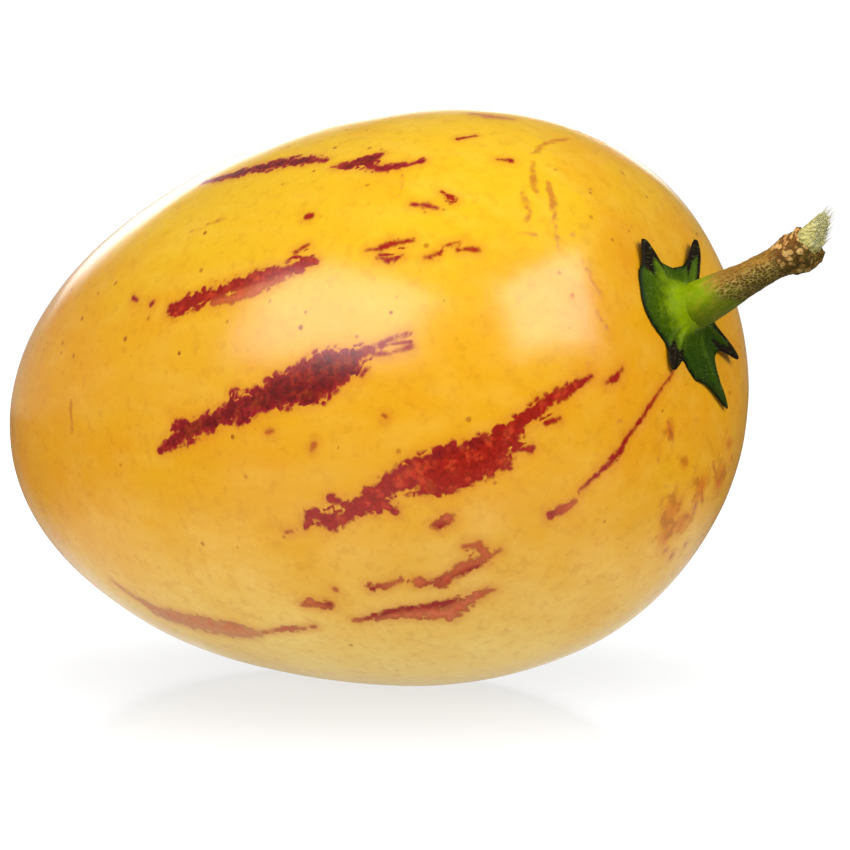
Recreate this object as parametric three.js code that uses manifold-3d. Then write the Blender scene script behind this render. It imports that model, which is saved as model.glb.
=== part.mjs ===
// A ripe pepino melon as picked: the fruit, the five-lobed calyx on its stem end and a snapped
// piece of stalk. It lies on its side, on a small flat spot.
// Millimetres, +Z up. The origin is the middle of the flat spot, and +X runs along the fruit to
// its stem end.
import * as THREE from "three";
import { mergeVertices } from "three/addons/utils/BufferGeometryUtils.js";
import Module from "manifold-3d";

const { degToRad, smoothstep } = THREE.MathUtils;
const wasm = await Module();
wasm.setup();

// ---- The fruit's body ----
const HALF_LENGTH = 55.3; // from its middle to either end
const HALF_WIDTH = 38; // before the taper
const TAPER = 0.163; // how much fuller the stem half is than the blossom half
const FULLNESS = 0.06; // how much fuller both shoulders are than an ellipsoid's
const ARCH = 1.45; // rise of both ends above the middle
const HOOK = 1.0; // further rise of the stem end
const LEAN = degToRad(7.8); // how far the stem end is raised as the fruit lies
const CROWN_OFFSET = degToRad(6.2); // how far above its tip the stalk stands
const DIMPLE_DEPTH = 3; // hollow in which the calyx sits
const DIMPLE_RADIUS = 16.3;
const NIPPLE_HEIGHT = 0.9; // blossom end's small point
const NIPPLE_RADIUS = 5.5;
const FLAT_DEPTH = 1.15; // how much the flat spot takes off the round underside
const REST_HEIGHT = 37.67 - FLAT_DEPTH; // the body's middle above the surface
const REST_X = 2.65; // the lowest point, ahead of the body's middle

// ---- The calyx ----
const GAP = 0.35; // clearance between neighbouring pieces
const CUP_RADIUS = 6.3; // where the sepals part
const CUP_BULGE = 2.7; // extra width of the cup where no sepal stands
const CUP_BULGE_AT = 66;
const CUP_BULGE_SPREAD = 40;
const CUP_ROOT = 1.5; // thickness beside the stalk's seat
const CUP_EDGE = 0.55; // thickness at the rim
const SEAT_RADIUS = 3.7; // flat disc that the stalk stands on
const SEAT_HEIGHT = 1.8;
const SEPAL_POINT = 2; // above 1, a sepal's sides curve in towards its tip
// Degrees round the stalk, from the top of the fruit towards -Y.
const SEPALS = [
  { at: 32, reach: 12.1, spread: 28, curl: 0.4 },
  { at: -37, reach: 13, spread: 32, curl: 0.6 },
  { at: -121, reach: 12.4, spread: 28, curl: 0.7 },
  { at: -155, reach: 14.6, spread: 34, curl: 0.3 },
  { at: 142, reach: 8.8, spread: 28, curl: 0.2 },
];

// ---- The stalk ----
const STALK_RISE = degToRad(26); // above the horizontal
const STALK_RADIUS = 2.0;
const ROOT_RADIUS = 2.95;
const KNUCKLE_AT = 18.6; // swollen joint, from the skin along the stalk
const KNUCKLE_RADIUS = 2.5;
const KNUCKLE_SLANT = 1.1; // how far its lower side sits beyond its upper side
const CORE_RADIUS = 1.95; // torn woody end that stands out of the bark
const CORE_END = 23;
const CORE_BEND = degToRad(14); // the torn end turns upwards
const TUFT_LENGTH = 1.8; // fibres left standing on its upper side
const TOOTH_LENGTH = 0.5; // ragged steps round the tear

const SIDE = new THREE.Vector3(0, 1, 0);
const bell = (x) => Math.exp(-x * x);

// The body before its dimple and nipple: a unit direction, x towards the stem end, to a point.
function bodyPoint(direction) {
  const { x, y, z } = direction;
  const width = HALF_WIDTH * (1 + TAPER * x + FULLNESS * x * x);
  return new THREE.Vector3(HALF_LENGTH * x, width * y, width * z + ARCH * x * x + HOOK * x ** 3);
}

// The direction at a colatitude from the stalk and a longitude from the fruit's top towards -Y.
function directionAt(colatitude, longitude) {
  const ring = Math.sin(colatitude);
  return new THREE.Vector3(
    Math.cos(colatitude),
    -ring * Math.sin(longitude),
    ring * Math.cos(longitude),
  );
}

const fromCrown = (direction) => direction.clone().applyAxisAngle(SIDE, -CROWN_OFFSET);

// Outward normal, for a direction, of the surface that pointAt gives.
function outward(pointAt, direction) {
  const step = 1e-3;
  const tangent = direction.clone().cross(SIDE).normalize();
  const bitangent = direction.clone().cross(tangent);
  const slope = (way) => {
    const ahead = direction.clone().addScaledVector(way, step).normalize();
    const behind = direction.clone().addScaledVector(way, -step).normalize();
    return pointAt(ahead).sub(pointAt(behind));
  };
  return slope(tangent).cross(slope(bitangent)).normalize();
}

const crownDirection = fromCrown(new THREE.Vector3(1, 0, 0));
const blossomDirection = crownDirection.clone().negate();
const crown = bodyPoint(crownDirection);
const crownNormal = outward(bodyPoint, crownDirection);
const blossom = bodyPoint(blossomDirection);
const blossomNormal = outward(bodyPoint, blossomDirection);
const rest = new THREE.Matrix4()
  .makeTranslation(-REST_X, 0, REST_HEIGHT)
  .multiply(new THREE.Matrix4().makeRotationY(-LEAN));

// The finished skin, where the fruit lies.
function skinPoint(direction) {
  const point = bodyPoint(fromCrown(direction));
  const dimple = DIMPLE_DEPTH * bell(point.distanceTo(crown) / DIMPLE_RADIUS);
  const nipple = NIPPLE_HEIGHT * bell(point.distanceTo(blossom) / NIPPLE_RADIUS);
  return point
    .addScaledVector(crownNormal, -dimple)
    .addScaledVector(blossomNormal, nipple)
    .applyMatrix4(rest);
}

// Moves every vertex of a geometry by a function and merges the seam.
function reshape(geometry, move) {
  const position = geometry.getAttribute("position");
  const vertex = new THREE.Vector3();
  for (let i = 0; i < position.count; i++) {
    vertex.fromBufferAttribute(position, i);
    const moved = move(vertex);
    position.setXYZ(i, moved.x, moved.y, moved.z);
  }
  geometry.deleteAttribute("normal");
  geometry.deleteAttribute("uv");
  return mergeVertices(geometry, 1e-4);
}

function toSolid(geometry) {
  return new wasm.Manifold(
    new wasm.Mesh({
      numProp: 3,
      vertProperties: new Float32Array(geometry.getAttribute("position").array),
      triVerts: new Uint32Array(geometry.index.array),
    }),
  );
}

function fromSolid(solid) {
  const mesh = solid.getMesh();
  const geometry = new THREE.BufferGeometry();
  geometry.setAttribute("position", new THREE.BufferAttribute(mesh.vertProperties, mesh.numProp));
  geometry.setIndex(new THREE.BufferAttribute(mesh.triVerts, 1));
  geometry.computeVertexNormals();
  return geometry;
}

// The fruit: one solid body, cut level at the spot it rests on.
function fruitGeometry() {
  const round = reshape(new THREE.SphereGeometry(1, 72, 48), ({ x, y, z }) =>
    skinPoint(new THREE.Vector3(y, z, x)),
  );
  const under = new THREE.BoxGeometry(60, 60, 10).translate(0, 0, -5);
  return fromSolid(toSolid(round).subtract(toSolid(reshape(under, (corner) => corner))));
}

const turnBetween = (a, b) => Math.abs(THREE.MathUtils.euclideanModulo(a - b + 180, 360) - 180);

// 1 on a sepal's midline, falling to 0 at its sides.
function sepalShare(sepal, degrees) {
  return Math.max(0, 1 - turnBetween(degrees, sepal.at) / sepal.spread) ** SEPAL_POINT;
}

// The calyx: a cup that hugs the dimple, with five pointed sepals whose tips lift off the skin.
function calyxGeometry() {
  const seatShare = 0.26; // of the way from the middle to the rim
  const crownRadius = HALF_WIDTH * (1 + TAPER + FULLNESS); // arc length for a radian from the crown
  const { along, upward } = stalkFrame();
  return reshape(new THREE.SphereGeometry(1, 120, 16), (unit) => {
    const ring = Math.acos(THREE.MathUtils.clamp(unit.y, -1, 1)) / (Math.PI / 2);
    const share = ring <= 1 ? ring : 2 - ring;
    const longitude = Math.atan2(-unit.z, unit.x);
    const degrees = THREE.MathUtils.radToDeg(longitude);
    const bulge = CUP_BULGE * bell(turnBetween(degrees, CUP_BULGE_AT) / CUP_BULGE_SPREAD);
    const cup = CUP_RADIUS + bulge;
    const rim = SEPALS.reduce(
      (radius, sepal) => radius + (sepal.reach - cup) * sepalShare(sepal, degrees),
      cup,
    );
    const curl = SEPALS.reduce((lift, sepal) => lift + sepal.curl * sepalShare(sepal, degrees), 0);
    const out = Math.max(0, (share - seatShare) / (1 - seatShare));
    const radius = share < seatShare
      ? (SEAT_RADIUS * share) / seatShare
      : SEAT_RADIUS + (rim - SEAT_RADIUS) * out;
    const colatitude = radius / crownRadius;
    const underside = GAP + curl * out ** 3;
    const edge = Math.sqrt(Math.max(0, 1 - out ** 4));
    const thickness = (CUP_EDGE + (CUP_ROOT - CUP_EDGE) * (1 - out) ** 2) * edge;
    const direction = directionAt(colatitude, longitude);
    if (ring <= 1 && share <= seatShare) {
      return skinPoint(directionAt(0, 0))
        .addScaledVector(along, SEAT_HEIGHT)
        .addScaledVector(upward, radius * Math.cos(longitude))
        .addScaledVector(SIDE, -radius * Math.sin(longitude));
    }
    const height = underside + (ring <= 1 ? thickness : 0);
    return skinPoint(direction).addScaledVector(outward(skinPoint, direction), height);
  });
}

// The stalk's direction, and the direction square to it that points up.
function stalkFrame() {
  const along = new THREE.Vector3(Math.cos(STALK_RISE), 0, Math.sin(STALK_RISE));
  const upward = new THREE.Vector3(-Math.sin(STALK_RISE), 0, Math.cos(STALK_RISE));
  return { along, upward };
}

// Radius against the distance from the skin, from the seat to the torn end.
function stalkOutline() {
  const foot = SEAT_HEIGHT + GAP;
  const side = new THREE.SplineCurve([
    new THREE.Vector2(ROOT_RADIUS, foot),
    new THREE.Vector2(0.94 * ROOT_RADIUS, foot + 2),
    new THREE.Vector2(0.86 * ROOT_RADIUS, foot + 5),
    new THREE.Vector2(1.08 * STALK_RADIUS, foot + 8.5),
    new THREE.Vector2(STALK_RADIUS, KNUCKLE_AT - 5.5),
    new THREE.Vector2(STALK_RADIUS, KNUCKLE_AT - 2.6),
    new THREE.Vector2(0.97 * KNUCKLE_RADIUS, KNUCKLE_AT - 1.2),
    new THREE.Vector2(KNUCKLE_RADIUS, KNUCKLE_AT + 0.3),
    new THREE.Vector2(CORE_RADIUS, KNUCKLE_AT + 1.7),
    new THREE.Vector2(CORE_RADIUS, CORE_END - 1),
    new THREE.Vector2(0.75 * CORE_RADIUS, CORE_END),
  ]).getPoints(30);
  return [new THREE.Vector2(0, foot), ...side, new THREE.Vector2(0, CORE_END - 0.4)];
}

// The stalk: it narrows from a green root to a corky shaft, swells at its joint and ends in torn wood.
function stalkGeometry() {
  const joint = new THREE.Vector3(0, KNUCKLE_AT, 0);
  const across = new THREE.Vector3(1, 0, 0);
  return reshape(new THREE.LatheGeometry(stalkOutline(), 28), (vertex) => {
    const turn = Math.atan2(vertex.x, vertex.z); // 0 on the upper side
    const tornShare = smoothstep(vertex.y, CORE_END - 2.5, CORE_END);
    const radius = Math.hypot(vertex.x, vertex.z) / CORE_RADIUS;
    const tuft = TUFT_LENGTH * Math.max(0, Math.cos(turn)) ** 2 * Math.min(1, radius);
    const tooth = TOOTH_LENGTH * Math.sin(7 * turn) * Math.min(1, radius);
    const slanted = bell((vertex.y - KNUCKLE_AT) / 2.5) * KNUCKLE_SLANT * Math.cos(turn);
    const moved = vertex.clone();
    moved.y += tornShare * (tuft + tooth) - slanted / 2;
    const turned = CORE_BEND * smoothstep(vertex.y, KNUCKLE_AT - 1.5, KNUCKLE_AT + 2.5);
    return moved.sub(joint).applyAxisAngle(across, turned).add(joint);
  });
}

function piece(name, geometry, color, roughness) {
  const material = new THREE.MeshStandardMaterial({ color, roughness, metalness: 0 });
  const mesh = new THREE.Mesh(geometry, material);
  mesh.name = name;
  return mesh;
}

const fruit = piece("fruit", fruitGeometry(), "#f2b436", 0.35);
const calyx = piece("calyx", calyxGeometry(), "#35591a", 0.6);
const stalk = piece("stalk", stalkGeometry(), "#8a6a35", 0.8);

const { along, upward } = stalkFrame();
const basis = new THREE.Matrix4().makeBasis(along.clone().cross(upward), along, upward);
stalk.setRotationFromMatrix(basis);
stalk.position.copy(skinPoint(directionAt(0, 0)));

const pepino = new THREE.Group();
pepino.add(fruit, calyx, stalk);
export default pepino;
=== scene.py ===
"""Dresses the solids of a ripe pepino melon: its streaked skin, hairy calyx and snapped stalk.

Lengths in the shape code are millimetres, in the frame of the solids: the origin is the middle
of the spot the fruit rests on, +X runs to the stem end and +Z is up. Meshes are in metres.
"""

import math
from functools import partial

import bpy
import numpy as np
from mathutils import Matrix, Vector, noise


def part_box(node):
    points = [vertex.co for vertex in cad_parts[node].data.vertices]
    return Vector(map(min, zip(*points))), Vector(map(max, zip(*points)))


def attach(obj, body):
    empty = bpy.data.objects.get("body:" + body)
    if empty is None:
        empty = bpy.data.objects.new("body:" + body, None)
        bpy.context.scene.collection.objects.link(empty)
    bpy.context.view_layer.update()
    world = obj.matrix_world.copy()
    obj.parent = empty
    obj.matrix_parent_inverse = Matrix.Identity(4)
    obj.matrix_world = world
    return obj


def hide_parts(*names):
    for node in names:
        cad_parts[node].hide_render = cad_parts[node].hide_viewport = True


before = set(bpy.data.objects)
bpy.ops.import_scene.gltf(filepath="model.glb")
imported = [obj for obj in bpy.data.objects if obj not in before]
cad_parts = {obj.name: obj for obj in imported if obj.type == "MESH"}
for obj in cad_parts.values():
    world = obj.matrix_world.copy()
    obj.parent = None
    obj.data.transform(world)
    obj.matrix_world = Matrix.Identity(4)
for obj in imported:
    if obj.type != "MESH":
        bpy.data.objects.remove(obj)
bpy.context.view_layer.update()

bl_info = {
    "name": "Pepino Melon",
    "version": (1, 0, 0),
    "blender": (4, 5, 0),
    "location": "View3D > Sidebar > Pepino",
    "description": "Makes a ripe pepino melon with its calyx and a snapped stalk",
    "category": "Add Mesh",
}

MM = 0.001
FAR = 9.0  # millimetres, further than any mark is felt
TO_STALK = np.array([1.0, 0, 0])

# ---- Markings ----
# Every mark is a line of (colatitude, longitude, half width) stops. Colatitude runs from 0
# degrees at the stalk to 180 at the blossom end, longitude from 0 on the top of the fruit
# through 90 on its -Y side to 180 underneath. Half widths are millimetres.
MAROON, WINE, CRIMSON, BRICK, ROSE = 0.0, 0.25, 0.5, 0.78, 1.0
STREAKS = (
    # the broad streak across the middle of the -Y side, with a forked end
    (MAROON, (95, 94, 0.5), (90, 92, 1.3), (86, 91, 1.4), (82, 90, 1.3), (78, 89, 1.5),
     (75, 89, 1.8), (72, 88, 2.3), (68, 88, 2.8), (66, 87, 3.1), (62, 86, 2.1), (60, 84.5, 1.0),
     (57, 84, 0.5)),
    (CRIMSON, (72, 87, 0.9), (68, 86, 1.5)),
    (MAROON, (91, 90, 0.7), (89, 90, 0.6)),
    (MAROON, (80, 92, 0.6), (78, 91, 0.9), (74, 90, 0.7)),
    (CRIMSON, (57, 84, 0.45), (55, 83.2, 0.3), (52, 82.6, 0.35)),
    (CRIMSON, (58, 85, 0.4), (55, 86, 0.28), (52, 85.4, 0.35)),
    (MAROON, (80, 86, 0.3), (79, 86, 0.3)),
    (MAROON, (60, 89, 0.35), (59, 88, 0.3)),
    (BRICK, (76, 95, 0.25), (75, 95, 0.2)),
    (BRICK, (70, 100, 0.3), (69, 99, 0.25)),
    (CRIMSON, (58, 98, 0.35), (58, 97.6, 0.3)),
    # the longest streak, below it
    (CRIMSON, (76, 114, 0.4), (74, 112, 0.9), (72, 114, 1.3), (70, 114, 0.8), (66, 113, 1.3),
     (64, 113, 1.4), (61, 110.5, 1.2), (59, 111, 1.6), (56, 110.5, 2.2), (54, 112, 2.2),
     (51, 112, 2.5), (48, 113, 2.2), (45, 112.5, 2.0), (42, 111, 1.5),
     (40, 110, 1.1), (36, 108.5, 0.85), (34, 108, 0.8), (30, 108, 0.7), (26, 108, 0.4)),
    (MAROON, (59, 109, 0.6), (55, 108.5, 0.9), (50, 109, 1.0), (45, 110, 0.8)),
    (CRIMSON, (70, 110, 0.7), (69, 111, 0.6)),
    (CRIMSON, (62, 116, 0.7), (63, 114, 0.7)),
    (CRIMSON, (64, 111, 0.9), (63, 111, 0.7)),
    (CRIMSON, (57, 114, 0.9), (53, 116, 0.9), (48, 116, 0.9), (44, 117, 0.8)),
    (CRIMSON, (79, 114, 0.3), (78, 114, 0.3)),
    (CRIMSON, (43, 115, 0.35), (41, 116, 0.35), (40, 117, 0.6)),
    (CRIMSON, (36, 113, 0.35), (34, 114, 0.35)),
    (CRIMSON, (24, 113, 0.3), (22, 114, 0.4), (20, 112, 0.3)),
    # the fine line that starts at a sepal's tip
    (CRIMSON, (11, 146, 0.12), (13, 142, 0.15), (16, 138, 0.2), (20, 136, 0.26), (22, 136, 0.36),
     (26, 135, 0.22), (28, 136, 0.32), (30, 136, 0.6), (34, 135, 0.25), (37, 134.6, 0.15)),
    (BRICK, (39, 136, 0.4), (41, 135.6, 0.6)),
    (CRIMSON, (40.5, 135.4, 0.45), (43, 134.2, 0.6)),
    (BRICK, (58, 122, 0.4), (56, 122, 0.9), (55, 122, 0.5)),
    (WINE, (57.5, 122.6, 0.45), (56.5, 122.4, 0.35)),
    # broken dashes above the belly
    (BRICK, (56, 129, 0.3), (54, 130, 0.6), (54, 132, 0.7), (55, 134, 0.9), (58, 133, 0.8),
     (62, 134, 0.8), (65, 132, 0.9)),
    (WINE, (56, 134.6, 0.4), (60, 134.4, 0.35), (64, 133.2, 0.4)),
    (BRICK, (67, 130, 0.4), (70, 130, 0.6), (72, 129, 0.5)),
    (WINE, (71, 130, 0.45), (72, 129.4, 0.4)),
    (BRICK, (53, 134, 0.2), (52, 134, 0.3)),
    (BRICK, (84, 130, 0.2), (82, 130, 0.9), (80, 131, 0.8)),
    (WINE, (80, 130.5, 0.55), (79.2, 131, 0.5)),
    (BRICK, (77, 128, 0.35), (77, 127.6, 0.3)),
    (BRICK, (78, 136, 0.3), (73, 137, 0.7), (70, 138, 1.1), (67, 140, 1.3), (65, 142, 1.6),
     (62, 141, 1.1), (58, 141, 0.7), (57, 142, 0.4)),
    (WINE, (76, 135.8, 0.3), (71, 136.2, 0.5), (66, 138.3, 0.6), (62, 139.4, 0.4)),
    (ROSE, (121, 126, 0.2), (118, 130, 0.6), (114, 134, 1.6), (108, 135, 2.0), (102, 136, 2.1),
     (98, 137, 1.4), (95, 137, 0.4)),
    (BRICK, (95, 137, 0.4), (90, 136, 0.6), (85, 136, 0.4)),
    (BRICK, (106, 132.6, 0.4), (102, 133.4, 0.3), (98, 134.6, 0.4)),
    # the shoulder streaks
    (CRIMSON, (90, 67, 0.9), (86, 66.5, 1.3), (82, 66, 1.2), (78, 65.5, 1.2), (75, 65, 1.3),
     (72, 65, 1.2), (68, 64.5, 1.1), (66, 64, 0.8)),
    (WINE, (90, 66.6, 0.7), (86, 66, 0.7), (80, 65, 0.5), (72, 64, 0.5), (67, 63.6, 0.5)),
    (BRICK, (82, 68, 0.7), (79, 68, 0.8), (74, 67.2, 0.9), (70, 66.5, 0.5)),
    (MAROON, (98, 61, 0.4), (97, 62, 0.25)),
    (MAROON, (94, 64, 0.35), (93.5, 64, 0.3)),
    (CRIMSON, (69, 61, 0.3), (67, 60, 0.3)),
    (MAROON, (92, 31, 0.5), (86, 33, 1.0), (82, 33, 1.2), (79, 34, 1.2), (75, 34, 1.2),
     (72, 35, 1.1), (69, 36, 0.5)),
    (MAROON, (67, 39, 0.3), (64, 39, 1.1), (62, 38, 1.2), (60, 36, 0.5)),
    (MAROON, (61, 40, 0.8), (58, 41, 0.7), (56, 40, 0.6), (55, 40, 0.3), (53, 38, 0.5)),
    (MAROON, (52, 52, 0.35), (51, 52, 0.2), (50, 52, 0.5), (48, 53, 0.2)),
    (CRIMSON, (48, 48, 0.25), (46, 50, 0.55)),
    (CRIMSON, (68, 53, 0.55), (67.6, 53, 0.5)),
    (CRIMSON, (58, 63, 0.15), (56, 63, 0.35), (54, 62, 0.5), (51, 61.5, 0.3)),
    (CRIMSON, (56, 65, 0.25), (54, 66, 0.4), (52.5, 65, 0.35)),
    (CRIMSON, (49, 66, 0.25), (47, 65, 0.3)),
    (CRIMSON, (46, 63, 0.2), (44, 62, 0.25)),
    (CRIMSON, (44, 64, 0.3), (41, 64, 0.35)),
    (CRIMSON, (50, 28, 0.35), (48, 25, 0.25)),
    (CRIMSON, (42, 33, 0.35), (40, 32, 0.35)),
    # low at the stem end
    (ROSE, (39, 178, 0.35), (39, 177.5, 0.3)),
    (ROSE, (40.5, -177, 0.35), (40, -177.5, 0.3)),
    (ROSE, (39, -172, 0.3), (38.6, -172.5, 0.3)),
    (ROSE, (31, -176, 0.3), (32.5, -175.5, 0.35)),
    (ROSE, (53, 12, 0.4), (50, 12, 0.8), (47, 10, 0.4)),
    # the far side and the top
    (MAROON, (112, 4, 0.4), (104, 3, 0.9), (96, 2, 1.5), (90, 3, 1.8), (84, 1, 1.1), (80, 2, 0.5)),
    (CRIMSON, (74, -3, 0.4), (69, -2, 0.8), (64, -4, 0.6)),
    (CRIMSON, (44, -18, 0.3), (40, -19, 0.5), (35, -18, 0.3)),
    (MAROON, (100, -27, 0.5), (92, -26, 1.4), (84, -28, 2.2), (76, -27, 2.6), (69, -28, 1.9),
     (62, -26, 1.2), (55, -27, 0.5)),
    (MAROON, (88, -30, 0.9), (80, -31, 0.8)),
    (CRIMSON, (48, -30, 0.4), (43, -29, 0.5)),
    (CRIMSON, (128, -36, 0.3), (121, -38, 0.8), (114, -37, 0.5)),
    (CRIMSON, (86, -50, 0.4), (80, -51, 1.1), (73, -49, 1.7), (66, -51, 2.3), (58, -50, 2.5),
     (51, -52, 1.9), (45, -50, 1.2), (38, -51, 0.8), (31, -50, 0.4)),
    (CRIMSON, (70, -54, 0.9), (62, -55, 1.0)),
    (CRIMSON, (107, -56, 0.3), (103, -57, 0.6), (100, -56, 0.3)),
    (MAROON, (96, -73, 0.3), (90, -74, 0.9), (85, -73, 0.6)),
    (MAROON, (78, -75, 0.4), (72, -74, 1.1), (66, -76, 1.4), (60, -75, 0.9), (56, -76, 0.3)),
    (CRIMSON, (44, -74, 0.2), (36, -76, 0.35), (28, -77, 0.3), (21, -79, 0.15)),
    (CRIMSON, (124, -92, 0.3), (116, -93, 1.0), (108, -92, 1.6), (100, -94, 1.3), (93, -93, 0.6)),
    (MAROON, (86, -97, 0.5), (79, -98, 1.6), (72, -97, 2.4), (65, -99, 2.7), (58, -98, 1.9),
     (52, -100, 1.0), (47, -99, 0.4)),
    (MAROON, (76, -102, 0.8), (70, -103, 0.7)),
    (CRIMSON, (40, -104, 0.3), (35, -105, 0.5)),
    (CRIMSON, (92, -119, 0.4), (85, -120, 0.9), (77, -119, 1.2), (70, -121, 1.7), (63, -120, 1.1),
     (57, -121, 0.5)),
    (ROSE, (112, -131, 0.4), (104, -132, 1.3), (96, -131, 1.5), (89, -133, 0.6)),
    (CRIMSON, (52, -133, 0.3), (47, -134, 0.8), (42, -133, 0.6), (38, -134, 0.2)),
    (CRIMSON, (48, -116, 0.2), (43, -118, 0.4), (38, -117, 0.15)),
    (CRIMSON, (82, -150, 0.4), (75, -151, 1.1), (68, -150, 0.9), (62, -152, 0.3)),
    (ROSE, (104, -158, 0.4), (96, -157, 1.0), (88, -158, 0.8), (82, -157, 0.3)),
    (CRIMSON, (62, -142, 0.3), (56, -141, 0.7), (51, -142, 0.4)),
    (CRIMSON, (136, -12, 0.3), (131, -11, 0.6), (127, -12, 0.3)),
    (CRIMSON, (142, -70, 0.3), (136, -72, 0.5), (131, -71, 0.3)),
    (ROSE, (150, 150, 0.3), (142, 149, 0.6), (136, 151, 0.3)),
)
# healed rubs and scratches: pale brown, on the shoulder and low on the stem end
SCRATCHES = (
    ((37, 29, 0.3), (35, 38, 0.5), (34, 41, 0.3)),
    ((36, 43, 0.35), (34, 50, 0.3), (34, 54, 0.2)),
    ((33, 35, 0.3), (31, 42, 0.5), (30, 47, 0.3), (28, 61, 0.25)),
    ((35, 58, 0.2), (32, 57, 0.25)),
    ((24, 62, 0.2), (22, 70, 0.25), (20, 78, 0.2)),
    ((22, 82, 0.2), (20, 94, 0.2)),
    ((55, 43, 0.15), (54, 50, 0.15)),
    ((38, 25, 0.35), (38, 16, 0.45), (37, 8, 0.4)),
    ((40, -3, 0.3), (36, -10, 0.3)),
    ((89, 49, 0.25), (83, 48, 0.35)),
    ((113, 79, 0.35), (114, 86, 0.3)),
    ((19, 152, 0.35), (21, 158, 0.4)),
    ((25, 179, 0.3), (28, -175, 0.4), (31, -172, 0.3)),
    ((25, -168, 0.3), (30, -161, 0.4)),
    ((44, -142, 0.4), (38, -138, 0.8), (34, -134, 0.4)),
    ((30, -60, 0.2), (28, -66, 0.4), (28, -72, 0.2)),
    ((66, -86, 0.2), (64, -92, 0.3)),
    ((120, -10, 0.2), (118, -2, 0.3)),
)
# soft russet patches: colatitude, longitude and radius
BLOTCHES = (
    (32, 171, 2.4), (34, 179, 2.0), (36, 174, 2.2), (28, -175, 1.8), (29, -160, 2.2),
    (24, -153, 1.0), (20, 155, 1.2), (24, 170, 1.0), (62, -38, 2.4), (40, -88, 2.0),
    (84, -140, 3.0),
)

# The sepals: longitude of the midline, reach from the stalk's axis, half the angle of the base,
# half the angle of the horn at the end, how blunt the horn is, the base's share of the reach,
# how far the tip lifts, how far it swings round and how much of it has dried.
SEPALS = (
    (34, 12.0, 36, 8.5, 2.8, 0.30, 0.6, -5, 0.9),
    (-38, 12.1, 38, 8.5, 2.6, 0.30, 0.9, 4, 0.9),
    (-118, 12.2, 36, 7.0, 1.9, 0.42, 0.9, -5, 0.8),
    (-161, 14.8, 42, 6.5, 1.5, 0.50, 0.3, 8, 0.45),
    (141, 9.3, 30, 10.0, 2.4, 0.30, 0.3, 0, 0.9),
)
# Where the cup between them is fuller: longitude, how much, and half the angle.
CUP_LOBES = ((66, 2.7, 40), (48, 1.1, 11), (178, 1.6, 14))


def linear(colour):
    """An sRGB hex colour as linear red, green and blue."""
    parts = [int(colour[i : i + 2], 16) / 255 for i in (1, 3, 5)]
    return tuple(c / 12.92 if c <= 0.04045 else ((c + 0.055) / 1.055) ** 2.4 for c in parts)


def smooth(x, low, high):
    """0 below low, 1 above high, and a smooth step between."""
    t = np.clip((np.asarray(x, float) - low) / (high - low), 0, 1)
    return t * t * (3 - 2 * t)


def bell(x):
    return np.exp(-np.square(x))


def turn_between(a, b):
    """Angle between two directions in degrees, from 0 to 180."""
    return np.abs((np.asarray(a, float) - b + 180) % 360 - 180)


def lumps(points, size, seed=0.0):
    """Smooth noise from -1 to 1 at each point, with lumps of a size."""
    shift = Vector((seed, 7 * seed, -seed))
    return np.array([noise.noise(Vector(p) / size + shift) for p in points])


# ---- Settings ----


def length(name, description, millimetres):
    return bpy.props.FloatProperty(
        name=name, description=description, default=millimetres * MM, unit="LENGTH", precision=5
    )


def angle(name, description, degrees):
    return bpy.props.FloatProperty(
        name=name, description=description, default=math.radians(degrees), subtype="ANGLE"
    )


def colour(name, description, value):
    return bpy.props.FloatVectorProperty(
        name=name, description=description, default=linear(value), subtype="COLOR", min=0, max=1
    )


def share(name, description, value, most=1):
    return bpy.props.FloatProperty(
        name=name, description=description, default=value, min=0, max=most, subtype="FACTOR"
    )


def spot(name, description, metres):
    return bpy.props.FloatVectorProperty(
        name=name, description=description, default=metres, subtype="TRANSLATION", unit="LENGTH"
    )


class PepinoFruitSettings(bpy.types.PropertyGroup):
    half_length: length("Half length", "From the body's middle to either end", 55.3)
    half_width: length("Half width", "Before the taper", 38)
    taper: share("Taper", "How much fuller the stem half is than the blossom half", 0.163)
    fullness: share("Fullness", "How much fuller the shoulders are than an ellipsoid's", 0.06)
    arch: length("Arch", "Rise of both ends above the middle", 1.45)
    hook: length("Hook", "Further rise of the stem end", 1.0)
    lean: angle("Lean", "How far the stem end is raised", 7.8)
    crown_offset: angle("Crown offset", "How far above its tip the stalk stands", 6.2)
    dimple_depth: length("Dimple depth", "Hollow in which the calyx sits", 3)
    dimple_radius: length("Dimple radius", "How wide that hollow is", 16.3)
    nipple_height: length("Nipple height", "Blossom end's small point", 0.9)
    nipple_radius: length("Nipple radius", "How wide that point is", 5.5)
    rest_x: length("Rest ahead", "Lowest point, ahead of the body's middle", 2.65)
    rest_height: length("Rest height", "The body's middle above the surface", 36.52)
    gold: colour("Gold", "Ripe skin", "#B98511")
    lemon: colour("Lemon", "Skin on the sunny top", "#BC9414")
    amber: colour("Amber", "Deeper ripe skin at both ends", "#B7760D")
    # painted bounce light: a paler straw given to the underside, where the floor lights it
    bounce_lit_straw: colour("Straw", "Skin that lay in the shade", "#CAAC5C")
    maroon: colour("Maroon", "Darkest streaks", "#5C0710")
    crimson: colour("Crimson", "Streaks in full colour", "#800E0A")
    brick: colour("Brick", "Thinner streaks", "#AC4A32")
    rose: colour("Rosewood", "Faded streaks", "#A05C3A")
    russet: colour("Russet", "Healed scratches", "#945012")


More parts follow.
